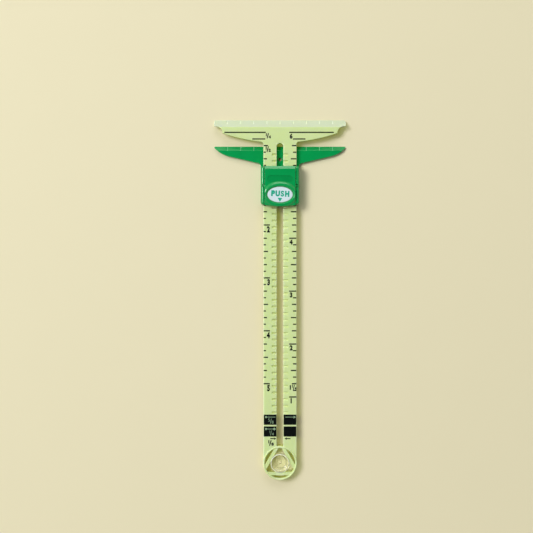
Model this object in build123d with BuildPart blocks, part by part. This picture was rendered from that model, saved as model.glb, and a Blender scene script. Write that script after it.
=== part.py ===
from build123d import *
import math
import os

# Sewing gauge: a slotted T-rule with a green slide that locks at every eighth of an inch.
# Millimetres. X runs across the rule, +Y points to the T-head, +Z is up. The origin is
# below the middle of the gauge, on the surface that it lies on. A reading is a distance
# from the outer edge of the T-head, measured along the rule.

os.makedirs("parts", exist_ok=True)

# Rule: legs and slot
rule_width = 15.875
slot_width = 3.175
rule_thickness = 2.4
slot_start_reading = 11.55
rule_edge_break = 0.2

# Rule: T-head
head_width = 63.5
head_depth = 10.95
head_edge_thickness = 0.8
head_bevel_depth = 3.85
head_lip_depth = 2.4
head_tip_height = 3.3
head_tip_flat = 0.75
head_hollow_radius = 3.4
head_arm_crown = 0.6
head_tip_round = 0.9
head_heel_round = 0.4
head_root_round = 1.3

# Rule: engraved ticks, shared by the T-head's bevel and the wings
tick_spacing = 6.35
tick_count = 9
tick_width = 0.62
tick_depth = 0.3
tick_draft = 40.0
head_long_tick = 2.6
head_short_tick = 1.7
head_tick_start = 0.45

# Rule: detent grooves
pitch = 3.175
detent_count = 40
groove_width = 1.2
groove_floor = 0.5
groove_depth = 0.5
groove_length = 2.3

# Rule: ring with its spring bars
ring_reading = 165.1
ring_inner_radius = 7.2
ring_wall = 1.0
ring_rise = 0.4
ring_edge_break = 0.4
bar_width = 1.6
bar_count = 3
bar_first_angle = 30.0
bar_flex_gap = 1.35

# Slider base
rest_step = 4
base_thickness = 1.6
base_gap = 0.2
wing_edge_thickness = 0.5
wing_bevel_depth = 2.0
wing_tip_height = 0.6
wing_tip_round = 0.45
wing_tip_length = 7.05
wing_knee_depth = 4.8
wing_root_depth = 8.4
wing_root_round = 1.5
wing_tick = 1.85
wing_tick_start = 0.2
body_start = 10.05
body_corner_round = 1.5
body_top_round = 1.2
wall_thickness = 1.15
wall_rise = 2.6
rail_side_gap = 0.16
rail_top_gap = 0.15
lip_overlap = 0.34
marker_offset = 6.35
marker_radius = 0.8
marker_rim = 0.25
post_gap = 0.25
post_height = 1.5
post_tip = 0.2

# Lever
lever_side_gap = 0.15
lever_underside_gap = 0.85
lever_flat_thickness = 2.25
lever_nose = 0.8
lever_front_slope = 1.45
lever_front_drop = 0.6
lever_side_round = 0.3
pivot_from_front = 9.45
pivot_rise = 0.55
trunnion_radius = 0.9
trunnion_length = 0.9
trunnion_gap = 0.06
trunnion_end_gap = 0.1
trunnion_snap = 0.1
lock_angle = 4.0
tooth_from_front = 3.8
tooth_root_width = 0.9
tooth_tip_width = 0.35
tooth_end_gap = 0.3
tooth_clearance = 0.05
pad_from_front = 13.75
pad_tail = 4.8
pad_rise = 0.7
pad_flank_across = 1.25
pad_flank_along = 1.75
crest_side_margin = 0.3
crest_half_along = 4.7
crest_width = 0.3
dish_depth = 0.45
dish_run_across = 0.75
dish_run_along = 0.6
plaque_from_front = 6.25
plaque_side_margin = 1.3
plaque_width = 3.2
plaque_depth = 0.22

# White oval plate
plate_thickness = 0.75
plate_gap = 0.05
plate_edge_break = 0.15

# Spring
spring_wire = 0.3
spring_wire_sides = 6
spring_arcs_per_turn = 4
spring_samples_per_turn = 90
spring_slot_gap = 0.39
spring_turns = 5
spring_seat_gap = 0.05
spring_pocket_gap = 0.25
spring_pocket_depth = 1.15

# Anchor button
button_flange_lap = 0.25
button_spin_gap = 0.05
button_end_gap = 0.1
button_top_rise = 1.0
button_rim = 0.6
button_dish_depth = 0.6
button_wall = 1.15
button_floor = 1.5
button_point_radius = 0.9
button_tip_radius = 0.15
button_edge_break = 0.2

# One overrun for every cut that starts outside its piece
overrun = 1.0

# Levels
rule_bottom = base_thickness + base_gap
rule_top = rule_bottom + rule_thickness
lever_bottom = rule_top + lever_underside_gap
lever_flat = lever_bottom + lever_flat_thickness
pad_top = lever_flat + pad_rise
plate_seat = pad_top - dish_depth - plate_thickness
pivot_height = lever_bottom + pivot_rise
wall_height = rule_top + wall_rise
spring_bottom = base_thickness + spring_seat_gap
spring_top = lever_bottom + spring_pocket_depth - spring_seat_gap

# Widths: the wings are as wide as the T-head
rule_half = rule_width / 2
slot_half = slot_width / 2
head_half = head_width / 2
groove_reach = slot_half + groove_length
channel_half = rule_half + rail_side_gap
body_half = channel_half + wall_thickness
lip_half = rule_half - lip_overlap
lever_half = lip_half - lever_side_gap
tooth_start = slot_half + tooth_end_gap
tooth_end = groove_reach - tooth_end_gap
spring_diameter = slot_width - 2 * spring_slot_gap
post_radius = spring_diameter / 2 - spring_wire - post_gap

# Ovals of the push pad, from the outside in: foot, crest, rim of the dish, plate
crest_half_across = lever_half - crest_side_margin
foot_half_across = crest_half_across + pad_flank_across
foot_half_along = crest_half_along + pad_flank_along
rim_half_across = crest_half_across - crest_width
rim_half_along = crest_half_along - crest_width
seat_half_across = rim_half_across - dish_run_across
seat_half_along = rim_half_along - dish_run_along
plate_half_across = seat_half_across - plate_gap
plate_half_along = seat_half_along - plate_gap

# Radii of the ring, its bars and the button that they hold
ring_outer_radius = ring_inner_radius + ring_wall
bar_inner_radius = ring_inner_radius - bar_flex_gap - bar_width
button_waist_radius = bar_inner_radius - button_spin_gap
button_flange_radius = button_waist_radius + button_flange_lap
button_dish_radius = button_flange_radius - button_rim
button_recess_radius = button_flange_radius - button_wall

# Places along the rule
edge_y = (ring_reading + ring_outer_radius) / 2
ring_y = edge_y - ring_reading
slot_y = edge_y - slot_start_reading - slot_half
rest_reading = rest_step * pitch
wing_y = edge_y - rest_reading
marker_y = wing_y - marker_offset
front_y = wing_y - body_start
tooth_y = front_y - tooth_from_front
plaque_y = front_y - plaque_from_front
pivot_y = front_y - pivot_from_front
pad_y = front_y - pad_from_front
spring_y = pad_y
back_y = pad_y - pad_tail


def bevel_section(edge_place, edge_level, crease_place, crease_level):
    """What a bevel takes away, seen from the side: all above the slope up to the crease."""
    run = crease_place - edge_place
    rise = crease_level - edge_level
    stretch = overrun / math.hypot(run, rise)
    low = (edge_place - run * stretch, edge_level - rise * stretch)
    high = (crease_place + run * stretch, crease_level + rise * stretch)
    with BuildSketch(Plane.YZ) as section:
        with BuildLine():
            Polyline(low, high, (low[0], high[1]), close=True)
        make_face()
    return section.sketch


def ticks_on_bevel(edge_place, edge_level, crease_place, crease_level, start, lengths):
    """Ticks along a bevelled edge, evenly spaced about the middle of its slope."""
    slope = Vector(0, crease_place - edge_place, crease_level - edge_level)
    across = Vector(-1, 0, 0)
    plane = Plane(origin=(0, edge_place, edge_level), x_dir=across, z_dir=across.cross(slope))
    with BuildSketch(plane) as ticks:
        for index, length in enumerate(lengths):
            place = (index - (len(lengths) - 1) / 2) * tick_spacing
            with Locations((place, start + length / 2)):
                Rectangle(tick_width, length)
    return ticks.sketch


# Rule: T-head, legs and slot are one outline
hollow_x = head_half - head_tip_flat
hollow_y = edge_y - head_tip_height - head_hollow_radius
hollow_reach = head_hollow_radius * math.cos(math.radians(45))
root_y = edge_y - head_depth
grip_angle = math.degrees(math.atan2(2 * groove_depth, groove_width - groove_floor))
first_groove = tooth_y + (rest_step - 1) * pitch
last_groove = first_groove - (detent_count - 1) * pitch
head_bevel = (edge_y, head_edge_thickness, edge_y - head_bevel_depth, rule_top)
head_ticks = [head_long_tick if index % 2 else head_short_tick for index in range(tick_count)]

with BuildPart() as rule:
    with BuildSketch(Plane.XY.offset(rule_bottom)) as rule_plan:
        with BuildLine():
            Line((0, edge_y), (head_half, edge_y))
            Line((head_half, edge_y), (head_half, edge_y - head_tip_height))
            Line((head_half, edge_y - head_tip_height), (hollow_x, edge_y - head_tip_height))
            ThreePointArc(
                (hollow_x, hollow_y + head_hollow_radius),
                (hollow_x - hollow_reach, hollow_y + hollow_reach),
                (hollow_x - head_hollow_radius, hollow_y),
            )
            SagittaArc((hollow_x - head_hollow_radius, hollow_y), (rule_half, root_y), head_arm_crown)
            Line((rule_half, root_y), (rule_half, ring_y))
            Line((rule_half, ring_y), (0, ring_y))
            mirror(about=Plane.YZ)
        make_face()
        roots = rule_plan.vertices().group_by(Axis.Y)[1]
        fillet(roots, radius=head_root_round)
        tips = rule_plan.vertices().group_by(Axis.Y)[-1]
        fillet(tips.sort_by(Axis.X)[0:1] + tips.sort_by(Axis.X)[-1:], radius=head_tip_round)
        heels = rule_plan.vertices().group_by(Axis.X)
        fillet(
            heels[0].sort_by(Axis.Y)[0:1] + heels[-1].sort_by(Axis.Y)[0:1],
            radius=head_heel_round,
        )
        with Locations((0, slot_y)):
            Circle(slot_half, mode=Mode.SUBTRACT)
            Rectangle(slot_width, slot_y - ring_y, align=(Align.CENTER, Align.MAX), mode=Mode.SUBTRACT)
    extrude(amount=rule_thickness)

    # The thin front edge reaches down to the cloth, and the wings pass behind it
    with BuildSketch() as lip_plan:
        with Locations((0, edge_y)):
            Rectangle(head_width, head_lip_depth, align=(Align.CENTER, Align.MAX))
        fillet(lip_plan.vertices().group_by(Axis.Y)[-1], radius=head_tip_round)
    extrude(amount=rule_bottom)
    extrude(bevel_section(*head_bevel), amount=head_width, both=True, mode=Mode.SUBTRACT)
    top_edges = rule.faces().sort_by(Axis.Z)[-1].edges().sort_by(Axis.Y)[:-1]
    chamfer(top_edges, length=rule_edge_break)
    engraving = ticks_on_bevel(*head_bevel, head_tick_start, head_ticks)
    extrude(engraving, amount=-tick_depth, taper=tick_draft, mode=Mode.SUBTRACT)

    # Forty grooves in each leg, one for each eighth of an inch
    with BuildSketch(Plane.YZ):
        with Locations((last_groove, rule_top)):
            with GridLocations(pitch, 0, detent_count, 1, align=(Align.MIN, Align.CENTER)):
                Trapezoid(
                    groove_width,
                    groove_depth,
                    grip_angle,
                    rotation=180,
                    align=(Align.CENTER, Align.MIN),
                )
    extrude(amount=groove_reach, both=True, mode=Mode.SUBTRACT)

    # The ring stands a little proud of the legs and reaches down to the cloth
    with BuildSketch():
        with Locations((0, ring_y)):
            Circle(ring_inner_radius)
    extrude(amount=rule_top + overrun, mode=Mode.SUBTRACT)
    with BuildSketch(Plane.XZ.offset(-ring_y)) as ring_section:
        with Locations((ring_inner_radius, 0)):
            Rectangle(ring_wall, rule_top + ring_rise, align=(Align.MIN, Align.MIN))
        chamfer(ring_section.vertices().group_by(Axis.Y)[-1], length=ring_edge_break)
    revolve(axis=Axis((0, ring_y, 0), (0, 0, 1)))

    # Three straight bars inside the ring spring outwards to let the button snap in
    with BuildSketch(Plane.XY.offset(rule_bottom)) as bars:
        with Locations((0, ring_y)):
            with PolarLocations(bar_inner_radius + bar_width / 2, bar_count, bar_first_angle):
                Rectangle(bar_width, 2 * ring_inner_radius)
            Circle(ring_inner_radius + ring_wall / 2, mode=Mode.INTERSECT)
    extrude(amount=rule_thickness)

rule.part.label = "rule"
export_step(rule.part, "parts/rule.step")


# Slider base: wings and plate under the rule, walls beside it, lips over its edges
wing_bevel = (wing_y, wing_edge_thickness, wing_y - wing_bevel_depth, base_thickness)
knee_x = head_half - wing_tip_length
root_low = wing_y - wing_root_depth - overrun
root_high = wing_y - wing_root_depth + overrun

with BuildPart() as slider_base:
    with BuildSketch() as wing_plan:
        with BuildLine():
            Line((0, back_y), (body_half, back_y))
            Line((body_half, back_y), (body_half, wing_y - wing_root_depth))
            lower = Line(
                (body_half, wing_y - wing_root_depth),
                (knee_x, wing_y - wing_knee_depth),
            )
            TangentArc(
                (knee_x, wing_y - wing_knee_depth),
                (head_half, wing_y - wing_tip_height),
                tangent=lower % 1,
            )
            Line((head_half, wing_y - wing_tip_height), (head_half, wing_y))
            Line((head_half, wing_y), (0, wing_y))
            mirror(about=Plane.YZ)
        make_face()
        fillet(wing_plan.vertices().group_by(Axis.Y)[0], radius=body_corner_round)
        fillet(wing_plan.vertices().filter_by_position(Axis.Y, root_low, root_high), radius=wing_root_round)
        tips = wing_plan.vertices().group_by(Axis.Y)[-1]
        fillet(tips.sort_by(Axis.X)[0:1] + tips.sort_by(Axis.X)[-1:], radius=wing_tip_round)
    extrude(amount=base_thickness)
    extrude(bevel_section(*wing_bevel), amount=head_width, both=True, mode=Mode.SUBTRACT)
    engraving = ticks_on_bevel(*wing_bevel, wing_tick_start, [wing_tick] * tick_count)
    extrude(engraving, amount=-tick_depth, taper=tick_draft, mode=Mode.SUBTRACT)

    with BuildSketch() as body_plan:
        with Locations((0, back_y)):
            Rectangle(2 * body_half, front_y - back_y, align=(Align.CENTER, Align.MIN))
        fillet(body_plan.vertices().group_by(Axis.Y)[0], radius=body_corner_round)
    extrude(amount=wall_height)
    fillet(slider_base.faces().sort_by(Axis.Z)[-1].edges(), radius=body_top_round)

    # Channel for the rule, and the wider bay that the lever rocks in
    with BuildSketch(Plane.XZ):
        with Locations((0, base_thickness)):
            Rectangle(
                2 * channel_half,
                rule_top + rail_top_gap - base_thickness,
                align=(Align.CENTER, Align.MIN),
            )
            Rectangle(2 * lip_half, wall_height, align=(Align.CENTER, Align.MIN))
    extrude(amount=edge_y, both=True, mode=Mode.SUBTRACT)

    # Snap pockets for the trunnions, narrower at the mouth than the trunnion
    with BuildSketch(Plane.YZ):
        with Locations((pivot_y, pivot_height)):
            Circle(trunnion_radius + trunnion_gap)
            Rectangle(
                2 * (trunnion_radius - trunnion_snap),
                wall_height,
                align=(Align.CENTER, Align.MIN),
            )
    pocket_half = lever_half + trunnion_length + trunnion_end_gap
    extrude(amount=pocket_half, both=True, mode=Mode.SUBTRACT)

    # Post that keeps the spring in its place
    with BuildSketch(Plane.XY.offset(base_thickness)):
        with Locations((0, spring_y)):
            Circle(post_radius)
    extrude(amount=post_height)
    chamfer(
        slider_base.edges().filter_by(GeomType.CIRCLE).filter_by_position(
            Axis.Z, base_thickness + post_height - post_tip, base_thickness + post_height + post_tip
        ),
        length=post_tip,
    )

    # Marking hole, a quarter of an inch behind the wings' edge
    with Locations((0, marker_y, base_thickness)):
        CounterSinkHole(marker_radius, marker_radius + marker_rim, counter_sink_angle=90)

slider_base.part.label = "slider_base"
export_step(slider_base.part, "parts/slider_base.step")


# Push pad: a low oval mound that the sides and the back of the lever cut off
with BuildPart() as pad_form:
    with BuildSketch(Plane.XY.offset(lever_flat - plaque_depth)):
        with Locations((0, pad_y)):
            Ellipse(foot_half_across, foot_half_along)
    extrude(amount=plaque_depth)
    with BuildSketch(Plane.XY.offset(lever_flat)):
        with Locations((0, pad_y)):
            Ellipse(foot_half_across, foot_half_along)
    with BuildSketch(Plane.XY.offset(pad_top)):
        with Locations((0, pad_y)):
            Ellipse(crest_half_across, crest_half_along)
    loft()


# Lever: rocks on its trunnions, teeth at the T-head's end and the push pad at the other
tooth_tip = rule_top + tooth_clearance
tooth_height = lever_bottom - tooth_tip
tooth_angle = math.degrees(math.atan2(2 * tooth_height, tooth_root_width - tooth_tip_width))
tooth_lead = (pivot_height - tooth_tip) * math.sin(math.radians(lock_angle))
lever_bevel = (front_y, lever_flat - lever_front_drop, front_y - lever_front_slope, lever_flat)

with BuildPart() as push_lever:
    with BuildSketch(Plane.XY.offset(lever_bottom)) as lever_plan:
        with BuildLine():
            Line((-lever_half, back_y), (-lever_half, front_y))
            Line((-lever_half, front_y), (lever_half, front_y))
            Line((lever_half, front_y), (lever_half, back_y))
            ThreePointArc(
                (lever_half, back_y),
                (0, back_y - lever_nose),
                (-lever_half, back_y),
            )
        make_face()
    extrude(amount=lever_flat_thickness)
    with BuildSketch(Plane.XY.offset(lever_flat)):
        with Locations((0, plaque_y)):
            SlotOverall(2 * (lever_half - plaque_side_margin), plaque_width)
    extrude(amount=-plaque_depth, mode=Mode.SUBTRACT)
    add(pad_form.part)
    extrude(lever_plan.sketch, amount=pad_top - lever_bottom, mode=Mode.INTERSECT)
    extrude(bevel_section(*lever_bevel), amount=lever_half, both=True, mode=Mode.SUBTRACT)
    flank = lever_half - lever_side_round
    side_edges = push_lever.edges().filter_by(lambda edge: abs(edge.center().X) > flank)
    side_edges = side_edges.filter_by(lambda edge: edge.center().Z > lever_bottom + lever_side_round)
    fillet(side_edges, radius=lever_side_round)

    # Dished pocket for the oval plate
    with BuildSketch(Plane.XY.offset(pad_top)):
        with Locations((0, pad_y)):
            Ellipse(rim_half_across, rim_half_along)
    with BuildSketch(Plane.XY.offset(pad_top - dish_depth)):
        with Locations((0, pad_y)):
            Ellipse(seat_half_across, seat_half_along)
    loft(mode=Mode.SUBTRACT)
    with BuildSketch(Plane.XY.offset(plate_seat)):
        with Locations((0, pad_y)):
            Ellipse(seat_half_across, seat_half_along)
    extrude(amount=plate_thickness, mode=Mode.SUBTRACT)

    # Pocket for the spring, trunnions and locking teeth
    with BuildSketch(Plane.XY.offset(lever_bottom)):
        with Locations((0, spring_y)):
            Circle(spring_diameter / 2 + spring_pocket_gap)
    extrude(amount=spring_pocket_depth, mode=Mode.SUBTRACT)
    with BuildSketch(Plane.YZ.offset(lever_half - trunnion_length)):
        with Locations((pivot_y, pivot_height)):
            Circle(trunnion_radius)
    trunnion = extrude(amount=2 * trunnion_length)
    with BuildSketch(Plane.YZ.offset(tooth_start)):
        with Locations((tooth_y + tooth_lead, lever_bottom)):
            Trapezoid(
                tooth_root_width,
                tooth_height,
                tooth_angle,
                rotation=180,
                align=(Align.CENTER, Align.MIN),
            )
    tooth = extrude(amount=tooth_end - tooth_start)
    mirror([trunnion, tooth], about=Plane.YZ)

push_lever.part.label = "push_lever"
export_step(push_lever.part, "parts/push_lever.step")


# White oval plate, let into the push pad
with BuildPart() as push_plate:
    with BuildSketch(Plane.XY.offset(plate_seat)):
        with Locations((0, pad_y)):
            Ellipse(plate_half_across, plate_half_along)
    extrude(amount=plate_thickness)
    chamfer(push_plate.faces().sort_by(Axis.Z)[-1].edges(), length=plate_edge_break)

push_plate.part.label = "push_plate"
export_step(push_plate.part, "parts/push_plate.step")


# Return spring: an open coil on the base's post, up through the slot into the lever
coil_radius = (spring_diameter - spring_wire) / 2
coil_start = spring_bottom + spring_wire / 2
coil_rise = (spring_top - spring_bottom - spring_wire) / spring_turns


def coil_point(turn):
    angle = math.tau * turn
    return Vector(
        coil_radius * math.cos(angle),
        spring_y + coil_radius * math.sin(angle),
        coil_start + coil_rise * turn,
    )


def coil_direction(turn):
    angle = math.tau * turn
    forward = Vector(-math.sin(angle), math.cos(angle), coil_rise / (math.tau * coil_radius))
    return forward.normalized()


def biarc(start, start_direction, end, end_direction):
    """Two arcs that leave and arrive along the given directions and meet smoothly."""
    span = end - start
    sum_of_directions = start_direction + end_direction
    spread = 2 * (1 - start_direction.dot(end_direction))
    lean = span.dot(sum_of_directions)
    handle = (math.sqrt(lean * lean + spread * span.dot(span)) - lean) / spread
    first_corner = start + start_direction * handle
    second_corner = end - end_direction * handle
    middle = (first_corner + second_corner) / 2
    TangentArc(start, middle, tangent=start_direction)
    TangentArc(middle, end, tangent=second_corner - first_corner)


arc_ends = [arc / spring_arcs_per_turn for arc in range(spring_arcs_per_turn * spring_turns + 1)]
with BuildPart() as return_spring:
    with BuildLine() as coil:
        for turn, next_turn in zip(arc_ends, arc_ends[1:]):
            biarc(
                coil_point(turn),
                coil_direction(turn),
                coil_point(next_turn),
                coil_direction(next_turn),
            )
    with BuildSketch(Plane(origin=coil_point(0), z_dir=coil_direction(0))):
        RegularPolygon(spring_wire / 2, spring_wire_sides)
    sweep(path=coil.line)

sample_count = spring_samples_per_turn * spring_turns + 1
samples = [coil_point(sample / spring_samples_per_turn) for sample in range(sample_count)]
coil_gap = min(
    (samples[one] - samples[other]).length
    for one in range(sample_count)
    for other in range(one + spring_samples_per_turn // 2, sample_count)
)
print("least gap of the spring to itself", round(coil_gap - spring_wire, 3))

return_spring.part.label = "return_spring"
export_step(return_spring.part, "parts/return_spring.step")


# Anchor button: two flanges keep it between the bars, and it turns on its waist
waist_bottom = rule_bottom - button_end_gap
waist_top = rule_top + button_end_gap
button_top = rule_top + button_top_rise

with BuildPart() as anchor_button:
    with BuildSketch(Plane.XZ.offset(-ring_y)) as button_section:
        with BuildLine():
            Polyline(
                (0, button_top - button_dish_depth),
                (0, 0),
                (button_tip_radius, 0),
                (button_point_radius, button_floor),
                (button_recess_radius, button_floor),
                (button_recess_radius, 0),
                (button_flange_radius, 0),
                (button_flange_radius, waist_bottom),
                (button_waist_radius, waist_bottom),
                (button_waist_radius, waist_top),
                (button_flange_radius, waist_top),
                (button_flange_radius, button_top),
                (button_dish_radius, button_top),
            )
            RadiusArc(
                (button_dish_radius, button_top),
                (0, button_top - button_dish_depth),
                (button_dish_radius ** 2 + button_dish_depth ** 2) / (2 * button_dish_depth),
            )
        make_face()
        rim = button_section.vertices().group_by(Axis.Y)[-1].sort_by(Axis.X)[-1]
        chamfer(rim, length=button_edge_break)
    revolve(axis=Axis((0, ring_y, 0), (0, 0, 1)))

anchor_button.part.label = "anchor_button"
export_step(anchor_button.part, "parts/anchor_button.step")
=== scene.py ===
import math

import bpy
from bpy.props import FloatProperty, FloatVectorProperty, PointerProperty
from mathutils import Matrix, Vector


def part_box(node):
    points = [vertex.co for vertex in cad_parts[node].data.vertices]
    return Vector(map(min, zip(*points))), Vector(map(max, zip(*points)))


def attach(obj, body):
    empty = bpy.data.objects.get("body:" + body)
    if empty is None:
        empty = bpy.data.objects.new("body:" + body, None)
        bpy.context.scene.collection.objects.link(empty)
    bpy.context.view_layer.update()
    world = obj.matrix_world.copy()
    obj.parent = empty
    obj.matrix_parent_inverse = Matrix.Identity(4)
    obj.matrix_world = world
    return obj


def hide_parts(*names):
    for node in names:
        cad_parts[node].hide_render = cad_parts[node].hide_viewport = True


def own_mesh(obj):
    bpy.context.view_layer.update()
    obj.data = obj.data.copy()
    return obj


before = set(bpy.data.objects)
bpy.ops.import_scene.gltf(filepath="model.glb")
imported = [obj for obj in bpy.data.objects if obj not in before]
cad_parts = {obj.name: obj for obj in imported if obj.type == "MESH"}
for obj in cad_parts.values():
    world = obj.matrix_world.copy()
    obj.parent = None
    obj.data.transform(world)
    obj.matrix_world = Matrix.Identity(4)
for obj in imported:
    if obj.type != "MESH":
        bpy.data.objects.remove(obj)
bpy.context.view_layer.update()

bl_info = {
    "name": "Sewing gauge",
    "version": (1, 0, 0),
    "blender": (4, 5, 0),
    "location": "View3D > Sidebar > Gauge",
    "description": "Dresses a slotted sewing gauge with its plastics, printed scales and studio",
    "category": "Object",
}

# All lengths are in metres. A reading is a distance in inches from the T-head's edge.
INCH = 0.0254

# The CAD pieces' corners, and the levels and half widths inside them.
RULE_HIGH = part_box("rule")[1]
SLIDE_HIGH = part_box("slider_base")[1]
LEVER_LOW, LEVER_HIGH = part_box("push_lever")
PLATE_LOW, PLATE_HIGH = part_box("push_plate")
BUTTON_LOW, BUTTON_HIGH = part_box("anchor_button")
RING_RISE = 0.0004
PAD_RISE = 0.0007
RULE_TOP = RULE_HIGH.z - RING_RISE
LEVER_FLAT = LEVER_HIGH.z - PAD_RISE
EDGE_Y = RULE_HIGH.y
LEG_HALF = 5 / 16 * INCH
SLOT_HALF = INCH / 16
HEAD_BEVEL_DEPTH = 0.00385
LEVER_HALF = 0.00745
LEVER_BACK = 0.04535
RECESS_HALF = 0.0065
FRONT_SLOPE = 0.0016
PLATE_HALF = (PLATE_HIGH - PLATE_LOW) / 2
PLATE_MIDDLE = (PLATE_HIGH + PLATE_LOW) / 2
BUTTON_X = (BUTTON_LOW.x + BUTTON_HIGH.x) / 2
BUTTON_Y = (BUTTON_LOW.y + BUTTON_HIGH.y) / 2

# Engraved ticks: where they start and end along the rule, and the half widths of their floor and mouth.
TICK_SPACING = INCH / 4
TICK_FLOOR = 0.00014
TICK_MOUTH = 0.00032
# The head's and the wings' engraved ticks get painted highlights along these spans.
HEAD_TICKS = (EDGE_Y - 0.00215, EDGE_Y - 0.00045)
WING_TICKS = (SLIDE_HIGH.y - 0.00205, SLIDE_HIGH.y - 0.0002)
SOFT = 0.00008

# Where the tones change: painted shade below the faces, the head's crease, painted highlights beside
# the slot and the legs' outer edges from one reading on, and painted shade down into the lever's recess.
WALL_SHADE_FADE = (0.0001, 0.0012)
CREASE_FADE = (-0.0002, 0.0004)
SLOT_HIGHLIGHT_FADE = (0.0002, 0.0007)
OUTER_HIGHLIGHT_FADE = (0.0001, 0.0006)
HIGHLIGHT_READING = 0.45
HIGHLIGHT_RAMP = 0.001
HOLLOW_SHADE_FADE = (0.00008, 0.0002)

# How much of each tone shows where it is fullest.
FLOW_SHARE = 0.5
WALL_SHADE_SHARE = 0.9
EDGE_HIGHLIGHT_SHARE = 0.7
HOLLOW_SHADE_SHARE = 0.7
LIME_TICK_HIGHLIGHT_SHARE = 0.55
GREEN_TICK_HIGHLIGHT_SHARE = 0.7

# Light left by one surface of each see-through plastic.
LIME_PASS = (0.45, 0.5, 0.2)
CLEAR_PASS = (0.42, 0.45, 0.38)

# Cleaning and rounding of meshes, and the button's pale rim, a painted highlight.
MERGE = 0.000002
FLAT_ANGLE = math.radians(0.4)
ROUND_STEPS = 3
CUTTER = 0.1
RIM_HIGHLIGHT_RADIUS = 0.0041
RIM_HIGHLIGHT_DEPTH = 0.0003

# The push pad. Crest and flank are half axes, across and along. The dish falls from its rim to the plate by
# shares of its width and its depth.
SKIM = 0.00001
TRIM = 0.0001
PAD_ROOT = 0.00015
PAD_CREST = (LEVER_HALF - 0.0003, 0.0047)
PAD_FLANK = (0.00125, 0.00175)
PAD_CURVE = 1.8
PAD_STEPS = 9
PAD_SEGMENTS = 128
PAD_ROUNDING = 0.00008
BLOCK_HEIGHT = 0.003
FRONT_WIDEN = 1.01
PLATE_GAP = 0.00005
DISH_RIM = 0.0003
DISH_DEPTH = 0.00045
DISH_FALL = ((1.0, 0.0), (0.93, 0.03), (0.82, 0.13), (0.5, 0.5), (0.2, 0.84), (0.08, 0.95), (0.0, 1.0))

# Scale lines: reach in from the leg's edge, first reading, step and count. The right scale has its own zero.
LEFT_LINES = (
    (0.00117, 0.625, 0.25, 18),
    (0.00165, 0.75, 0.5, 9),
    (0.00218, 0.5, 1, 5),
    (0.00309, 1, 1, 5),
)
RIGHT_LINES = (
    (0.0017, 1.125, 0.25, 19),
    (0.00223, 1.25, 0.5, 10),
    (0.00271, 1.5, 1, 5),
    (0.00357, 1, 1, 5),
)
RIGHT_ZERO = 6.25
LEFT_DIGITS_X = -0.00485
RIGHT_DIGITS_X = 0.00535
LEFT_NARROW = 0.7
RIGHT_NARROW = 0.84
DIGIT_BOLD = 0.06

# Fractions of the left scale: figures, place across, reading of the line above, drop below it, height.
LEFT_FRACTIONS = (
    ("1", "4", -0.00585, 0.25, 0.0029, 0.0025),
    ("1", "2", -0.0059, 0.5, 0.003, 0.0026),
)

# The mixed number of the right scale: its reading and drop, then place across, height and narrowing of
# its whole figure and of its fraction.
MIXED_READING = 1.25
MIXED_DROP = 0.0029
MIXED_WHOLE = (0.0047, 0.0022, 0.9)
MIXED_PART = (0.00665, 0.0024, 0.85)

# Parts of a fraction, as shares of its height: its figures' height, and how far they lie to the left and
# the right. The stroke between them is narrower and less bold than they are.
FIGURE_HEIGHT = 0.58
RAISED_LEFT = 0.2
LOWERED_RIGHT = 0.17
STROKE_NARROW = 0.9
STROKE_BOLD = 0.6

# Lines across the T-head: reading, left end, right end.
HEAD_LINES = (
    (0.25, -0.0267, -0.0068),
    (0.25, 0.0044, 0.0258),
    (0.375, -0.0133, -0.0071),
    (0.375, 0.0062, 0.0122),
)

# Blocks: top and bottom readings, and the lines in them and beside the slot as shares of a scale line.
BLOCK_ROWS = ((5.583, 5.776), (5.806, 5.998))
BLOCK_LINE = 0.5
SLOT_LINE = 0.8

# Dots and arrowheads: place across, reading, radius, corners, turn in degrees. Bars: both ends, reading.
# Fractions: figures, place across, reading of the foot, height, narrowing, boldness.
BLOCK_DOTS = (
    (-0.0067, 5.63, 0.00052, 12, 0),
    (0.0069, 5.63, 0.0008, 3, -90),
    (-0.0067, 5.855, 0.00052, 12, 0),
    (-0.0027, 5.855, 0.0006, 12, 0),
)
BLOCK_BARS = ((-0.0061, -0.0021, 5.63), (0.0025, 0.0064, 5.63), (-0.0061, -0.0033, 5.855))
BLOCK_FRACTIONS = (
    ("5", "8", -0.0044, 5.755, 0.0025, 0.95, 0.0),
    ("1", "4", -0.0043, 5.977, 0.0024, 0.95, 0.0),
)
SLOT_HEADS = ((-0.0025, 6.037, 0.0007, 3, -90), (0.0029, 6.037, 0.0007, 3, 90))
SLOT_BARS = ((-0.0047, -0.0029, 6.037), (0.0033, 0.0050, 6.037))
SLOT_FRACTIONS = (("1", "8", -0.0046, 6.17, 0.0026, 1.15, 0.06),)

# The plate's letters: letter, place across, narrowing, boldness. They stand a little above its middle, and
# the arrow below it.
LETTERS = (
    ("P", -0.00335, 0.95, 0.075),
    ("U", -0.00115, 0.88, 0.075),
    ("S", 0.00108, 0.95, 0.045),
    ("H", 0.00335, 0.86, 0.075),
)
LETTERS_RISE = 0.0005
ARROW_DROP = 0.0022
ARROW_RADIUS = 0.00125

# How high in the sky its overhead part begins and is full. Light panels: name, name of their power, turn
# from the T-head and height in degrees, width and depth as shares of the panel size.
OVERHEAD = (0.55, 0.95)
PANELS = (
    ("far_panel", "far_power", 0, 38, 0.7, 0.5),
    ("left_panel", "left_power", -64, 51, 0.55, 0.45),
    ("right_panel", "right_power", 62, 38, 1.0, 0.75),
    ("spark_panel", "spark_power", -94, 69, 0.17, 0.17),
)
FLOOR_RADIUS = 1.1
FLOOR_DROP = 0.00003
CAMERA_X = -0.00648
CAMERA_BACK = 0.07073
SENSOR = 36
CLIP_START = 0.01


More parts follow.
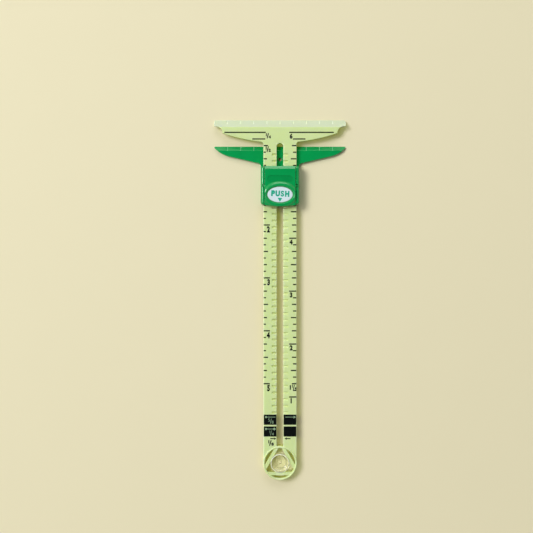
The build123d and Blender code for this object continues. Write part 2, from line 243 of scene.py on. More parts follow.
def srgb(red, green, blue):
    """A colour picked as 0 to 255 per channel, in the linear values that shaders take."""
    shares = [channel / 255 for channel in (red, green, blue)]
    return [share / 12.92 if share <= 0.04045 else ((share + 0.055) / 1.055) ** 2.4 for share in shares]


def reading(inches):
    """Where a distance in inches from the T-head's edge lies along the rule."""
    return EDGE_Y - inches * INCH


def colour(name, description, default):
    return FloatVectorProperty(
        name=name, description=description, subtype="COLOR", size=3, min=0, max=1, default=default
    )


def length(name, description, default):
    return FloatProperty(name=name, description=description, unit="LENGTH", precision=5, default=default)


class GaugePlastics(bpy.types.PropertyGroup):
    lime: colour("Lime", "Plastic of the rule on its flat faces", srgb(205, 222, 158))
    # Darker, deeper lime for grooves and walls: painted shade, partly the deeper colour of thick plastic.
    lime_deep: colour("Deep lime", "The same plastic where it is thick or cut into", srgb(188, 184, 30))
    # Lighter lime along the legs' edges: a painted highlight.
    lime_edge: colour("Edge lime", "The same plastic along the legs' edges", srgb(226, 240, 198))
    lime_pale: colour("Pale lime", "The same plastic along its thin edges", srgb(199, 212, 181))
    # Near-white lime in the engraved ticks: a painted highlight.
    lime_tick: colour("Lime ticks", "The same plastic in the engraved ticks", srgb(244, 252, 228))
    green: colour("Green", "Plastic of the slide and its lever", srgb(0, 148, 74))
    # Darker green: random unevenness all over, and painted shade in the lever's recess.
    green_deep: colour("Deep green", "The same plastic in its shaded hollows", srgb(0, 120, 58))
    # Light green in the engraved ticks: a painted highlight.
    green_tick: colour("Green ticks", "The same plastic in the engraved ticks", srgb(112, 196, 142))
    white: colour("White", "Oval plate on the push pad", srgb(210, 226, 230))
    steel: colour("Steel", "Wire of the return spring", srgb(190, 192, 196))


class GaugePrint(bpy.types.PropertyGroup):
    ink: colour("Ink", "Scale lines, numbers and blocks", srgb(3, 7, 6))
    relief: colour("Relief", "Marks left bare in the blocks", srgb(132, 158, 126))
    legend: colour("Legend", "Word and arrow on the plate", srgb(0, 158, 128))
    thickness: length("Ink thickness", "How far the print stands on the plastic", 0.000015)
    line: length("Line width", "Width of a scale line", 0.00057)
    margin: length("Margin", "Bare strip beside the rule's rounded edges", 0.00014)
    left_digit: length("Left digits", "Height of the numbers of the left scale", 0.00305)
    right_digit: length("Right digits", "Height of the numbers of the right scale", 0.0025)
    legend_height: length("Legend height", "Height of the plate's letters", 0.0028)
    legend_turn: FloatProperty(
        name="Legend turn",
        description="How far the legend leans",
        unit="ROTATION",
        default=math.radians(2.5),
    )


class GaugeStudio(bpy.types.PropertyGroup):
    floor: colour("Floor", "Plain pale floor and background", srgb(224, 216, 181))
    camera_height: length("Camera height", "Height of the camera over the floor", 0.4042)
    field: length("Field", "Width that the camera sees at the rule's face", 0.2558)
    panel_distance: length("Panel distance", "From the gauge to each light panel", 2.6)
    panel_size: length("Panel size", "Width of each light panel", 2.0)
    far_power: FloatProperty(name="Far panel", description="Beyond the T-head", unit="POWER", default=15)
    left_power: FloatProperty(name="Left panel", description="At the left", unit="POWER", default=54)
    right_power: FloatProperty(name="Right panel", description="At the right", unit="POWER", default=1.5)
    spark_power: FloatProperty(name="Spark", description="Small high lamp", unit="POWER", default=5)
    horizon: FloatProperty(name="Horizon", description="Even light from low all round", default=0.35, min=0)
    zenith: FloatProperty(name="Zenith", description="Even light from straight above", default=0.05, min=0)


class Wire:
    """A value in a shader. Arithmetic on it adds the Math nodes that work it out."""

    def __init__(self, shading, socket):
        self.shading = shading
        self.socket = socket

    def math(self, operation, *operands):
        return self.shading.node("ShaderNodeMath", {"operation": operation}, dict(enumerate(operands)))

    def __add__(self, other):
        return self.math("ADD", self, other)

    def __sub__(self, other):
        return self.math("SUBTRACT", self, other)

    def __rsub__(self, other):
        return self.math("SUBTRACT", other, self)

    def __mul__(self, other):
        return self.math("MULTIPLY", self, other)

    __radd__ = __add__
    __rmul__ = __mul__

    def __abs__(self):
        return self.math("ABSOLUTE", self)

    def step(self, low, high):
        """From 0 at low to 1 at high, with soft ends."""
        settings = {"interpolation_type": "SMOOTHSTEP"}
        return self.shading.node("ShaderNodeMapRange", settings, {0: self, 1: low, 2: high, 3: 0, 4: 1})

    def largest(self, other):
        return self.math("MAXIMUM", self, other)


class Shading:
    """The nodes of a material or of the world."""

    def __init__(self, owner):
        owner.use_nodes = True
        self.tree = owner.node_tree

    def node(self, kind, settings, sockets, output=0):
        """Adds a node: its settings first, then a value or a link for each of its sockets."""
        made = self.tree.nodes.new(kind)
        for name, value in settings.items():
            setattr(made, name, value)
        for name, value in sockets.items():
            if isinstance(value, Wire):
                self.tree.links.new(value.socket, made.inputs[name])
            else:
                made.inputs[name].default_value = value
        return Wire(self, made.outputs[output])

    def show(self, surface, output):
        """Makes a shader what the named output node shows."""
        self.tree.links.new(surface.socket, self.tree.nodes[output].inputs["Surface"])


class Finish(Shading):
    """A material built round one Principled shader."""

    def __init__(self, name, **sockets):
        self.material = bpy.data.materials.new(name)
        super().__init__(self.material)
        self.shader = self.tree.nodes["Principled BSDF"]
        for socket, value in sockets.items():
            self.shader.inputs[socket.replace("_", " ")].default_value = value
        self.place = self.node("ShaderNodeTexCoord", {}, {}, "Object")
        self.x = self.node("ShaderNodeSeparateXYZ", {}, {0: self.place}, "X")
        self.y = self.node("ShaderNodeSeparateXYZ", {}, {0: self.place}, "Y")
        self.z = self.node("ShaderNodeSeparateXYZ", {}, {0: self.place}, "Z")

    def noise(self, scale, detail=2.0, stretch=(1, 1, 1)):
        """Soft random variation between 0 and 1. The scale is in lumps per metre."""
        place = self.node("ShaderNodeMapping", {}, {"Vector": self.place, "Scale": stretch})
        return self.node("ShaderNodeTexNoise", {}, {"Vector": place, "Scale": scale, "Detail": detail})

    def mix(self, share, first, second):
        """The first colour, turning into the second as share goes from 0 to 1."""
        first = first if isinstance(first, Wire) else (*first, 1)
        second = second if isinstance(second, Wire) else (*second, 1)
        settings = {"data_type": "RGBA"}
        return self.node("ShaderNodeMix", settings, {0: share, 6: first, 7: second}, 2)

    def let_light_pass(self, tint):
        """Lets the lamps shine through, tinted once where the light enters and once where it leaves."""
        shadow = self.node("ShaderNodeLightPath", {}, {}, "Is Shadow Ray")
        passed = self.node("ShaderNodeBsdfTransparent", {}, {"Color": (*tint, 1)})
        solid = Wire(self, self.shader.outputs[0])
        self.show(self.node("ShaderNodeMixShader", {}, {0: shadow, 1: solid, 2: passed}), "Material Output")

    def ticks(self, span):
        """1 on the engraved ticks between two places along the rule, 0 elsewhere."""
        away = self.x.math("PINGPONG", self.x, TICK_SPACING / 2)
        begun = self.y.step(span[0] - SOFT, span[0] + SOFT)
        ended = self.y.step(span[1] - SOFT, span[1] + SOFT)
        along = begun - ended
        return (1 - away.step(TICK_FLOOR, TICK_MOUTH)) * along

    def drive(self, socket, value):
        self.tree.links.new(value.socket, self.shader.inputs[socket])

    def bump(self, height, strength, distance):
        sockets = {"Height": height, "Strength": strength, "Distance": distance}
        self.drive("Normal", self.node("ShaderNodeBump", {}, sockets, "Normal"))


def shade(tone, factor):
    """A colour made lighter or darker by one factor."""
    return [min(1, channel * factor) for channel in tone]


def moulded(finish, base, tone, gloss, share=FLOW_SHARE):
    """What every moulded plastic has: flow marks, an uneven gloss, fine scuffs and a faint orange peel."""
    flow = finish.noise(scale=90, detail=3, stretch=(1, 0.35, 1)).step(0.3, 0.7)
    finish.drive("Base Color", finish.mix(flow * share, base, tone))
    scuffs = finish.noise(scale=900, detail=3, stretch=(1, 0.06, 1)).step(0.55, 0.8)
    uneven = finish.noise(scale=260, detail=4)
    finish.drive("Roughness", gloss + uneven * 0.05 + scuffs * 0.04)
    finish.bump(finish.noise(scale=2600), strength=0.12, distance=0.000012)


def lime_plastic(scene):
    """Pale lime that lets a little light through. Its grooves and walls get painted shade, partly the deeper
    colour of thick plastic; its engraved ticks and the legs' edges get painted highlights; and it is paler
    along the thin bevelled edge."""
    plastics = scene.gauge_plastics
    finish = Finish(
        "lime_moulded",
        Subsurface_Weight=0.3,
        Subsurface_Radius=(0.9, 1.0, 0.35),
        Subsurface_Scale=0.0016,
        Coat_Weight=0.1,
        Coat_Roughness=0.1,
    )
    crease = EDGE_Y - HEAD_BEVEL_DEPTH
    thin_edge = finish.y.step(crease + CREASE_FADE[0], crease + CREASE_FADE[1])
    # Painted shade in the grooves and on the walls below the face, partly the deeper colour of thick
    # plastic.
    cut = (RULE_TOP - finish.z).step(*WALL_SHADE_FADE) * (1 - thin_edge)
    # Painted highlight along the slot's edges and the legs' outer edges, from one reading on.
    legs = (reading(HIGHLIGHT_READING) - finish.y).step(0, HIGHLIGHT_RAMP)
    slot_edge = 1 - (abs(finish.x) - SLOT_HALF).step(*SLOT_HIGHLIGHT_FADE)
    outer_edge = 1 - (LEG_HALF - abs(finish.x)).step(*OUTER_HIGHLIGHT_FADE)
    painted_edge_highlight = slot_edge.largest(outer_edge) * legs
    base = finish.mix(painted_edge_highlight * EDGE_HIGHLIGHT_SHARE, plastics.lime, plastics.lime_edge)
    base = finish.mix(cut * WALL_SHADE_SHARE, base, plastics.lime_deep)
    base = finish.mix(thin_edge, base, plastics.lime_pale)
    # Painted highlight on the head's engraved ticks.
    base = finish.mix(finish.ticks(HEAD_TICKS) * LIME_TICK_HIGHLIGHT_SHARE, base, plastics.lime_tick)
    moulded(finish, base, shade(plastics.lime, 1.04), gloss=0.2, share=FLOW_SHARE * (1 - thin_edge))
    finish.let_light_pass(LIME_PASS)
    return finish.material


def green_plastic(scene):
    """Deep glossy green, slightly uneven, with painted highlights in the wings' ticks and painted shade
    in the lever's recess.
    """
    plastics = scene.gauge_plastics
    finish = Finish("green_moulded")
    base = finish.mix(finish.noise(scale=140).step(0.35, 0.75) * 0.3, plastics.green, plastics.green_deep)
    # Painted highlight on the wings' engraved ticks.
    ticks = finish.ticks(WING_TICKS) * abs(finish.x).step(LEG_HALF, LEG_HALF + SOFT)
    base = finish.mix(ticks * GREEN_TICK_HIGHLIGHT_SHARE, base, plastics.green_tick)
    # Painted shade down in the lever's recess.
    hollow = (LEVER_FLAT - finish.z).step(*HOLLOW_SHADE_FADE)
    beside = (RECESS_HALF - abs(finish.x)).step(0, SOFT)
    before = (LEVER_HIGH.y - FRONT_SLOPE - finish.y).step(0, SOFT)
    behind = finish.y.step(LEVER_LOW.y, LEVER_LOW.y + SOFT)
    recess = hollow * (beside * before) * behind
    base = finish.mix(recess * HOLLOW_SHADE_SHARE, base, plastics.green_deep)
    moulded(finish, base, shade(plastics.green, 1.06), gloss=0.14, share=FLOW_SHARE * (1 - ticks))
    return finish.material


def white_plastic(scene):
    plastics = scene.gauge_plastics
    finish = Finish("white_inlay", Coat_Weight=0.1, Coat_Roughness=0.15)
    base = finish.mix(finish.noise(scale=600), plastics.white, shade(plastics.white, 0.95))
    moulded(finish, base, plastics.white, gloss=0.3)
    return finish.material


def printed(name, tone):
    """Screen print: even, with pinholes and a slightly uneven gloss."""
    finish = Finish(name, Specular_IOR_Level=0.15)
    cover = finish.noise(scale=3000, detail=3).step(0.25, 0.6)
    thin = [channel * 1.1 + 0.004 for channel in tone]
    finish.drive("Base Color", finish.mix(cover, thin, tone))
    finish.drive("Roughness", 0.26 + finish.noise(scale=900) * 0.12)
    return finish.material


def spring_steel(scene):
    """Steel wire, streaked where it was drawn."""
    plastics = scene.gauge_plastics
    finish = Finish("spring_wire", Metallic=1.0)
    drawn = finish.noise(scale=1800, detail=3, stretch=(1, 1, 6))
    finish.drive("Base Color", finish.mix(drawn, plastics.steel, shade(plastics.steel, 0.8)))
    finish.drive("Roughness", 0.22 + drawn * 0.2)
    return finish.material


def clear_plastic(scene):
    """Clear and polished, with faint swirls in the gloss. Lamps shine through it."""
    finish = Finish("clear_moulded", Transmission_Weight=1.0, IOR=1.49)
    finish.drive("Base Color", finish.mix(finish.noise(scale=300), (0.93, 0.95, 0.87), (0.98, 0.99, 0.94)))
    finish.drive("Roughness", finish.noise(scale=700, detail=3) * 0.03)
    finish.let_light_pass(CLEAR_PASS)
    return finish.material


def frosted_plastic(scene):
    """The button's rim, pale and satin: a painted highlight in place of the rim's bright reflection."""
    finish = Finish("clear_frosted", Transmission_Weight=0.35, IOR=1.49)
    finish.drive("Base Color", finish.mix(finish.noise(scale=900), (0.88, 0.92, 0.88), (0.97, 0.98, 0.97)))
    finish.drive("Roughness", 0.3 + finish.noise(scale=700, detail=3) * 0.2)
    return finish.material


def coat(piece, material):
    piece.data.materials.clear()
    piece.data.materials.append(material)


def deselect():
    if bpy.context.mode != "OBJECT":
        bpy.ops.object.mode_set(mode="OBJECT")
    bpy.ops.object.select_all(action="DESELECT")


def select(piece):
    """Makes one object the only one that operators act on."""
    deselect()
    piece.select_set(True)
    bpy.context.view_layer.objects.active = piece


def apply_modifier(piece, kind, **settings):
    select(piece)
    bpy.ops.object.modifier_add(type=kind)
    modifier = piece.modifiers[-1]
    for name, value in settings.items():
        setattr(modifier, name, value)
    bpy.ops.object.modifier_apply(modifier=modifier.name)


def rounded(piece, rounding, sharp):
    """Rounds the edges that turn by more than an angle in degrees."""
    apply_modifier(
        piece,
        "BEVEL",
        width=rounding,
        segments=ROUND_STEPS,
        limit_method="ANGLE",
        angle_limit=math.radians(sharp),
        use_clamp_overlap=False,
    )


def refined(node, name, body, rounding, sharp=30, top=None):
    """A copy of a CAD node with its triangles merged and its edges rounded.
    What stands above the top level is cut off, where one is given."""
    piece = bpy.data.objects.new(name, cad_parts[node].data.copy())
    piece.data.name = name
    bpy.context.scene.collection.objects.link(piece)
    select(piece)
    bpy.ops.mesh.customdata_custom_splitnormals_clear()
    bpy.ops.object.mode_set(mode="EDIT")
    bpy.ops.mesh.select_all(action="SELECT")
    bpy.ops.mesh.remove_doubles(threshold=MERGE)
    bpy.ops.mesh.dissolve_limited(angle_limit=FLAT_ANGLE)
    bpy.ops.object.mode_set(mode="OBJECT")
    if top is not None:
        deselect()
        bpy.ops.mesh.primitive_cube_add(size=CUTTER, location=(0, LEVER_HIGH.y, top + CUTTER / 2))
        cutter = bpy.context.active_object
        bpy.ops.object.transform_apply()
        apply_modifier(piece, "BOOLEAN", operation="DIFFERENCE", solver="EXACT", object=cutter)
        bpy.data.objects.remove(cutter)
    rounded(piece, rounding, sharp)
    bpy.ops.object.shade_smooth_by_angle(angle=math.radians(sharp))
    apply_modifier(piece, "WEIGHTED_NORMAL", keep_sharp=True)
    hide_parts(node)
    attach(piece, body)
    return piece


def slab(name, low, high, thickness):
    """A flat printed patch: a plane sized to its corners and extruded upwards."""
    deselect()
    middle = ((low[0] + high[0]) / 2, (low[1] + high[1]) / 2, low[2])
    bpy.ops.mesh.primitive_plane_add(size=1, location=middle)
    patch = bpy.context.active_object
    patch.name = name
    patch.scale = (high[0] - low[0], high[1] - low[1], 1)
    bpy.ops.object.transform_apply()
    thicken(patch, thickness)
    return patch


def thicken(patch, thickness):
    """Extrudes a flat mesh upwards into a closed slab."""
    select(patch)
    bpy.ops.object.mode_set(mode="EDIT")
    bpy.ops.mesh.select_all(action="SELECT")
    bpy.ops.mesh.extrude_region_move(TRANSFORM_OT_translate={"value": (0, 0, thickness)})
    bpy.ops.mesh.select_all(action="SELECT")
    bpy.ops.mesh.normals_make_consistent(inside=False)
    bpy.ops.object.mode_set(mode="OBJECT")


def disc(name, centre, radius, corners, thickness, turn=0):
    """A round or many-cornered printed patch."""
    deselect()
    bpy.ops.mesh.primitive_circle_add(
        vertices=corners, radius=radius, fill_type="NGON", location=centre, rotation=(0, 0, turn)
    )
    patch = bpy.context.active_object
    patch.name = name
    bpy.ops.object.transform_apply()
    thicken(patch, thickness)
    return patch


def joined(name, parts):
    """Several objects made into one, under one name."""
    select(parts[0])
    for part in parts:
        part.select_set(True)
    bpy.ops.object.join()
    whole = bpy.context.active_object
    whole.name = name
    whole.data.name = name
    return whole


def lettering(text, place, height, base, narrow=1.0, bold=0.0, align=0.5):
    """Print of a short text. Its foot stands at place, and align says how far along it that is."""
    deselect()
    bpy.ops.object.text_add(location=(0, 0, 0))
    words = bpy.context.active_object
    words.data.body = text
    words.data.resolution_u = 4
    words.data.offset = bold
    words.data.extrude = 0.5
    bpy.ops.object.convert(target="MESH")
    words = bpy.context.active_object
    corners = [Vector(corner) for corner in words.bound_box]
    low = Vector([min(corner[axis] for corner in corners) for axis in range(3)])
    high = Vector([max(corner[axis] for corner in corners) for axis in range(3)])
    tall = height / (high.y - low.y)
    thickness = bpy.context.scene.gauge_print.thickness
    words.scale = (tall * narrow, tall, thickness / (high.z - low.z))
    words.location = (
        place[0] - words.scale.x * (low.x + (high.x - low.x) * align),
        place[1] - words.scale.y * low.y,
        base - words.scale.z * low.z,
    )
    bpy.ops.object.transform_apply()
    bpy.ops.object.mode_set(mode="EDIT")
    bpy.ops.mesh.select_all(action="SELECT")
    bpy.ops.mesh.remove_doubles(threshold=MERGE)
    bpy.ops.object.mode_set(mode="OBJECT")
    return words


def fraction(over, under, place, height, base, narrow=1.0, bold=0.07):
    """A small fraction about its lower middle: raised figure, slanted stroke, lowered figure."""
    figure = height * FIGURE_HEIGHT
    raised = (place[0] - height * RAISED_LEFT, place[1] + height - figure)
    lowered = (place[0] + height * LOWERED_RIGHT, place[1])
    return joined(
        "fraction",
        [
            lettering(over, raised, figure, base, narrow, bold, align=1),
            lettering("/", place, height, base, narrow * STROKE_NARROW, bold * STROKE_BOLD),
            lettering(under, lowered, figure, base, narrow, bold, align=0),
        ],
    )


def bar(left, right, inches, width, base):
    """A printed line across the rule at a reading."""
    job = bpy.context.scene.gauge_print
    level = reading(inches)
    return slab("bar", (left, level - width / 2, base), (right, level + width / 2, base), job.thickness)


def dot(across, inches, radius, corners, turn, base):
    """A printed dot or arrowhead at a reading."""
    job = bpy.context.scene.gauge_print
    return disc("dot", (across, reading(inches), base), radius, corners, job.thickness, math.radians(turn))


def marks(name, dots, bars, width, fractions, base):
    """Dots, bars and fractions on the rule, joined into one piece."""
    parts = [dot(*row, base) for row in dots]
    parts += [bar(*row, width, base) for row in bars]
    for over, under, across, inches, height, narrow, bold in fractions:
        parts.append(fraction(over, under, (across, reading(inches)), height, base, narrow, bold))
    return joined(name, parts)


def tick_row(side, tick, first, spacing, count, scale):
    """Scale lines of one length, repeated down one leg."""
    job = bpy.context.scene.gauge_print
    outer = side * (LEG_HALF - job.margin)
    inner = side * (LEG_HALF - tick)
    low = (min(outer, inner), scale(first) - job.line / 2, RULE_TOP)
    high = (max(outer, inner), scale(first) + job.line / 2, RULE_TOP)
    row = slab("tick_row", low, high, job.thickness)
    apply_modifier(
        row,
        "ARRAY",
        count=count,
        use_relative_offset=False,
        use_constant_offset=True,
        constant_offset_displace=(0, scale(first + spacing) - scale(first), 0),
    )
    return row


def sky(scene, studio):
    """Even light that fades towards straight above. The eye, clear plastic and low mirrorings see the
    floor's colour instead."""
    world = bpy.data.worlds.new("sky")
    scene.world = world
    shading = Shading(world)
    shading.tree.nodes.remove(shading.tree.nodes["Background"])
    direction = shading.node("ShaderNodeTexCoord", {}, {}, "Generated")
    overhead = shading.node("ShaderNodeSeparateXYZ", {}, {0: direction}, "Z").step(*OVERHEAD)
    strength = studio.horizon + overhead * (studio.zenith - studio.horizon)
    light = shading.node("ShaderNodeBackground", {}, {"Color": (1, 1, 1, 1), "Strength": strength})
    seen = shading.node("ShaderNodeBackground", {}, {"Color": (*studio.floor, 1)})
    camera, passing, mirrored = (
        shading.node("ShaderNodeLightPath", {}, {}, ray)
        for ray in ("Is Camera Ray", "Is Transmission Ray", "Is Glossy Ray")
    )
    share = camera.largest(passing).largest(mirrored * (1 - overhead))
    shading.show(shading.node("ShaderNodeMixShader", {}, {0: share, 1: light, 2: seen}), "World Output")


def oval_rings(name, rings, segments):
    """A closed band from oval rings, each given by its half axes and its level, about the plate's middle."""
    deselect()
    bpy.ops.mesh.primitive_circle_add(vertices=segments, radius=1, location=(0, 0, 0))
    band = bpy.context.active_object
    band.name = name
    bpy.ops.object.mode_set(mode="EDIT")
    bpy.ops.mesh.select_all(action="SELECT")
    across, along, level = rings[0]
    bpy.ops.transform.resize(value=(across, along, 1), center_override=(0, 0, 0))
    bpy.ops.transform.translate(value=(0, 0, level))
    for ring in rings[1:]:
        bpy.ops.mesh.extrude_region_move(TRANSFORM_OT_translate={"value": (0, 0, ring[2] - level)})
        bpy.ops.transform.resize(value=(ring[0] / across, ring[1] / along, 1), center_override=(0, 0, 0))
        across, along, level = ring
    bpy.ops.mesh.select_all(action="DESELECT")
    bpy.ops.mesh.select_non_manifold()
    bpy.ops.mesh.bridge_edge_loops()
    bpy.ops.mesh.select_all(action="SELECT")
    bpy.ops.transform.translate(value=(PLATE_MIDDLE.x, PLATE_MIDDLE.y, 0))
    bpy.ops.mesh.normals_make_consistent(inside=False)
    bpy.ops.object.mode_set(mode="OBJECT")
    return band


def lever_outline(top):
    """A block with the lever's sides and bowed back, to trim the pad with."""
    deselect()
    bpy.ops.mesh.primitive_circle_add(vertices=64, radius=1, location=(0, 0, 0), fill_type="NGON")
    block = bpy.context.active_object
    bpy.ops.object.mode_set(mode="OBJECT")
    half = LEVER_HALF - TRIM
    nose = LEVER_BACK - LEVER_LOW.y
    bow = (half**2 + nose**2) / (2 * nose)
    floor = LEVER_FLAT - PAD_ROOT * 2
    for vertex in block.data.vertices:
        share = vertex.co.x
        if vertex.co.y < 0:
            across = share * half
            back = LEVER_LOW.y + bow - math.sqrt(bow**2 - across**2)
            vertex.co = (across, back + TRIM, floor)
        else:
            vertex.co = (max(-half, min(half, share * half * FRONT_WIDEN)), LEVER_HIGH.y, floor)
    thicken(block, top)
    return block


def push_pad():
    """The oval mound: a swelling flank, a narrow crest and the dish round the plate."""
    crest = PAD_CREST
    flank = PAD_FLANK
    seat = (PLATE_HALF.x + PLATE_GAP, PLATE_HALF.y + PLATE_GAP)
    rings = [(crest[0] + flank[0], crest[1] + flank[1], LEVER_FLAT - PAD_ROOT)]
    for step in range(PAD_STEPS + 1):
        left = 1 - step / PAD_STEPS
        level = LEVER_HIGH.z - PAD_RISE * left**PAD_CURVE
        rings.append((crest[0] + flank[0] * left, crest[1] + flank[1] * left, level))
    dish = (crest[0] - seat[0] - DISH_RIM, crest[1] - seat[1] - DISH_RIM)
    for share, drop in DISH_FALL:
        level = LEVER_HIGH.z - DISH_DEPTH * drop
        rings.append((seat[0] + dish[0] * share, seat[1] + dish[1] * share, level))
    rings.append((*seat, LEVER_FLAT - PAD_ROOT))
    pad = oval_rings("push_pad", rings, PAD_SEGMENTS)
    block = lever_outline(BLOCK_HEIGHT)
    apply_modifier(pad, "BOOLEAN", operation="INTERSECT", solver="EXACT", object=block)
    bpy.data.objects.remove(block)
    rounded(pad, PAD_ROUNDING, sharp=48)
    select(pad)
    bpy.ops.object.shade_smooth_by_angle(angle=math.radians(35))
    pad.data.name = "push_pad"
    return pad


class GAUGE_OT_rule(bpy.types.Operator):
    """Rounds the rule's edges and gives it the lime plastic"""

    bl_idname = "gauge.rule"
    bl_label = "Rule"

    def execute(self, context):
        piece = refined("rule", "rule_moulding", "rule", rounding=0.00008)
        coat(piece, lime_plastic(context.scene))
        return {"FINISHED"}


class GAUGE_OT_left_scale(bpy.types.Operator):
    """Prints the lines and numbers that count from the T-head"""

    bl_idname = "gauge.left_scale"
    bl_label = "Left scale"

    def execute(self, context):
        job = context.scene.gauge_print
        parts = [tick_row(-1, *row, reading) for row in LEFT_LINES]
        for inch in range(1, 6):
            foot = (LEFT_DIGITS_X, reading(inch) - job.line - job.left_digit)
            digit = lettering(str(inch), foot, job.left_digit, RULE_TOP, LEFT_NARROW, DIGIT_BOLD, align=1)
            parts.append(digit)
        for over, under, across, line, drop, height in LEFT_FRACTIONS:
            parts.append(fraction(over, under, (across, reading(line) - drop), height, RULE_TOP))
        scale = joined("left_scale", parts)
        coat(scale, printed("ink_left", job.ink))
        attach(scale, "rule")
        return {"FINISHED"}


class GAUGE_OT_right_scale(bpy.types.Operator):
    """Prints the lines and numbers that count towards the T-head"""

    bl_idname = "gauge.right_scale"
    bl_label = "Right scale"

    def execute(self, context):
        job = context.scene.gauge_print

        def from_end(inches):
            return reading(RIGHT_ZERO - inches)

        parts = [tick_row(1, *row, from_end) for row in RIGHT_LINES]
        for inch in range(1, 7):
            foot = (RIGHT_DIGITS_X, from_end(inch) - job.line - job.right_digit)
            digit = lettering(str(inch), foot, job.right_digit, RULE_TOP, RIGHT_NARROW, DIGIT_BOLD)
            parts.append(digit)
        foot = from_end(MIXED_READING) - MIXED_DROP
        across, height, narrow = MIXED_WHOLE
        parts.append(lettering("1", (across, foot), height, RULE_TOP, narrow, DIGIT_BOLD, align=0))
        across, height, narrow = MIXED_PART
        parts.append(fraction("1", "4", (across, foot), height, RULE_TOP, narrow))
        scale = joined("right_scale", parts)
        coat(scale, printed("ink_right", job.ink))
        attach(scale, "rule")
        return {"FINISHED"}


class GAUGE_OT_head_lines(bpy.types.Operator):
    """Prints the quarter and three-eighths lines across the T-head"""

    bl_idname = "gauge.head_lines"
    bl_label = "Head lines"

    def execute(self, context):
        job = context.scene.gauge_print
        lines = [bar(left, right, inches, job.line, RULE_TOP) for inches, left, right in HEAD_LINES]
        piece = joined("head_lines", lines)
        coat(piece, printed("ink_head", job.ink))
        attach(piece, "rule")
        return {"FINISHED"}


class GAUGE_OT_width_blocks(bpy.types.Operator):
    """Prints the black blocks with the widths of the legs, and the slot's arrows"""

    bl_idname = "gauge.width_blocks"
    bl_label = "Width blocks"

    def execute(self, context):
        job = context.scene.gauge_print
        inner = SLOT_HALF + job.margin
        outer = LEG_HALF - job.margin
        blocks = [
            slab(
                "block",
                (min(side * inner, side * outer), reading(bottom), RULE_TOP),
                (max(side * inner, side * outer), reading(top), RULE_TOP),
                job.thickness,
            )
            for side in (-1, 1)
            for top, bottom in BLOCK_ROWS
        ]
        ground = joined("width_blocks", blocks)
        coat(ground, printed("ink_blocks", job.ink))
        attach(ground, "rule")
        face = RULE_TOP + job.thickness
        relief = marks("block_marks", BLOCK_DOTS, BLOCK_BARS, job.line * BLOCK_LINE, BLOCK_FRACTIONS, face)
        coat(relief, printed("relief_marks", job.relief))
        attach(relief, "rule")
        arrows = marks("slot_arrows", SLOT_HEADS, SLOT_BARS, job.line * SLOT_LINE, SLOT_FRACTIONS, RULE_TOP)
        coat(arrows, printed("ink_arrows", job.ink))
        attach(arrows, "rule")
        return {"FINISHED"}


class GAUGE_OT_slider(bpy.types.Operator):
    """Rounds the winged slide's edges and gives it the green plastic"""

    bl_idname = "gauge.slider"
    bl_label = "Slide"

    def execute(self, context):
        piece = refined("slider_base", "slider_moulding", "slider", rounding=0.00007, sharp=25)
        coat(piece, green_plastic(context.scene))
        return {"FINISHED"}


class GAUGE_OT_lever(bpy.types.Operator):
    """Rounds the push lever's edges, and puts a fuller pad in the place of its own"""

    bl_idname = "gauge.lever"
    bl_label = "Push lever"

    def execute(self, context):
        flat = LEVER_FLAT - SKIM
        piece = refined("push_lever", "lever_moulding", "lever", rounding=0.00006, sharp=20, top=flat)
        green = green_plastic(context.scene)
        coat(piece, green)
        pad = push_pad()
        coat(pad, green)
        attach(pad, "lever")
        return {"FINISHED"}


class GAUGE_OT_plate(bpy.types.Operator):
    """Rounds the white oval plate's edge, and prints its word and arrow"""

    bl_idname = "gauge.plate"
    bl_label = "Push plate"

    def execute(self, context):
        job = context.scene.gauge_print
        piece = refined("push_plate", "plate_inlay", "lever", rounding=0.00005)
        coat(piece, white_plastic(context.scene))
        middle = (PLATE_LOW.y + PLATE_HIGH.y) / 2
        face = PLATE_HIGH.z
        foot = middle - job.legend_height / 2 + LETTERS_RISE
        parts = [
            lettering(letter, (across, foot), job.legend_height, face, narrow, bold)
            for letter, across, narrow, bold in LETTERS
        ]
        tip = (0, middle - ARROW_DROP, face)
        parts.append(disc("arrow", tip, ARROW_RADIUS, 3, job.thickness, math.radians(180)))
        legend = joined("plate_legend", parts)
        select(legend)
        bpy.ops.transform.rotate(value=job.legend_turn, orient_axis="Z", center_override=(0, middle, face))
        bpy.ops.object.transform_apply()
        coat(legend, printed("ink_legend", job.legend))
        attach(legend, "lever")
        return {"FINISHED"}


class GAUGE_OT_spring(bpy.types.Operator):
    """Smooths the return spring, gives it its steel and a mesh of its own"""

    bl_idname = "gauge.spring"
    bl_label = "Return spring"

    def execute(self, context):
        piece = refined("return_spring", "spring_coil", "slider", rounding=0.00003, sharp=50)
        coat(piece, spring_steel(context.scene))
        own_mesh(piece)
        return {"FINISHED"}


class GAUGE_OT_button(bpy.types.Operator):
    """Rounds the clear anchor button's edges and gives its rim a pale satin finish, a painted highlight"""

    bl_idname = "gauge.button"
    bl_label = "Anchor button"

    def execute(self, context):
        piece = refined("anchor_button", "clear_button", "anchor", rounding=0.00008)
        coat(piece, clear_plastic(context.scene))
        piece.data.materials.append(frosted_plastic(context.scene))
        middle = Vector((BUTTON_X, BUTTON_Y, 0))
        # Faces at the top of the rim, outside a radius, take the pale satin finish: a painted highlight.
        for face in piece.data.polygons:
            outward = (face.center - middle).to_2d().length
            if outward > RIM_HIGHLIGHT_RADIUS and face.center.z > BUTTON_HIGH.z - RIM_HIGHLIGHT_DEPTH:
                face.material_index = 1
        return {"FINISHED"}


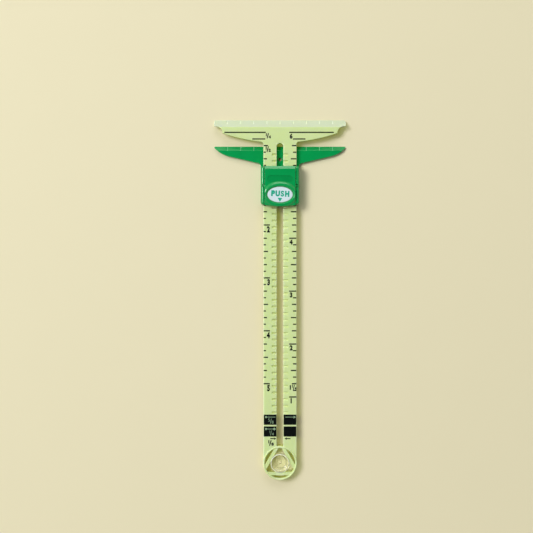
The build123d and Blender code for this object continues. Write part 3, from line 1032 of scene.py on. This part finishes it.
class GAUGE_OT_stage(bpy.types.Operator):
    """Adds the floor, the soft lights, the even sky and the camera"""

    bl_idname = "gauge.stage"
    bl_label = "Stage"

    def execute(self, context):
        scene = context.scene
        studio = scene.gauge_studio
        deselect()
        bpy.ops.mesh.primitive_circle_add(
            vertices=96, radius=FLOOR_RADIUS, fill_type="NGON", location=(0, 0, -FLOOR_DROP)
        )
        floor = bpy.context.active_object
        floor.name = "floor"
        bpy.ops.object.transform_apply()
        card = Finish("floor_card", Roughness=0.7)
        mottle = card.noise(scale=40, detail=3)
        card.drive("Base Color", card.mix(mottle, studio.floor, shade(studio.floor, 0.985)))
        coat(floor, card.material)

        for name, power, turn, height, width, depth in PANELS:
            turn = math.radians(turn)
            height = math.radians(height)
            flat = math.cos(height)
            towards = Vector((math.sin(turn) * flat, math.cos(turn) * flat, math.sin(height)))
            bpy.ops.object.light_add(type="AREA", location=towards * studio.panel_distance)
            lamp = bpy.context.active_object
            lamp.name = name
            lamp.data.shape = "RECTANGLE"
            lamp.data.size = studio.panel_size * width
            lamp.data.size_y = studio.panel_size * depth
            lamp.data.energy = getattr(studio, power)
            lamp.rotation_euler = towards.to_track_quat("Z", "Y").to_euler()
            lamp.visible_camera = False
        sky(scene, studio)

        eye = (CAMERA_X, reading(0) - CAMERA_BACK, studio.camera_height)
        bpy.ops.object.camera_add(location=eye, rotation=(0, 0, 0))
        camera = bpy.context.active_object
        camera.name = "camera"
        camera.data.sensor_width = SENSOR
        camera.data.lens = SENSOR * (studio.camera_height - RULE_TOP) / studio.field
        camera.data.clip_start = CLIP_START
        scene.camera = camera
        scene.view_settings.view_transform = "Standard"
        return {"FINISHED"}


OPERATORS = (
    GAUGE_OT_rule,
    GAUGE_OT_left_scale,
    GAUGE_OT_right_scale,
    GAUGE_OT_head_lines,
    GAUGE_OT_width_blocks,
    GAUGE_OT_slider,
    GAUGE_OT_lever,
    GAUGE_OT_plate,
    GAUGE_OT_spring,
    GAUGE_OT_button,
    GAUGE_OT_stage,
)


class GAUGE_PT_sidebar(bpy.types.Panel):
    bl_idname = "GAUGE_PT_sidebar"
    bl_label = "Sewing gauge"
    bl_space_type = "VIEW_3D"
    bl_region_type = "UI"
    bl_category = "Gauge"

    def draw(self, context):
        for group in (context.scene.gauge_plastics, context.scene.gauge_print, context.scene.gauge_studio):
            box = self.layout.box()
            for name in group.__annotations__:
                box.prop(group, name)
        for operator in OPERATORS:
            self.layout.operator(operator.bl_idname)


CLASSES = (GaugePlastics, GaugePrint, GaugeStudio, *OPERATORS, GAUGE_PT_sidebar)


def register():
    for item in CLASSES:
        bpy.utils.register_class(item)
    bpy.types.Scene.gauge_plastics = PointerProperty(type=GaugePlastics)
    bpy.types.Scene.gauge_print = PointerProperty(type=GaugePrint)
    bpy.types.Scene.gauge_studio = PointerProperty(type=GaugeStudio)


def unregister():
    del bpy.types.Scene.gauge_plastics
    del bpy.types.Scene.gauge_print
    del bpy.types.Scene.gauge_studio
    for item in reversed(CLASSES):
        bpy.utils.unregister_class(item)


def main():
    register()
    for operator in OPERATORS:
        group, name = operator.bl_idname.split(".")
        getattr(getattr(bpy.ops, group), name)()


if __name__ == "__main__":
    main()
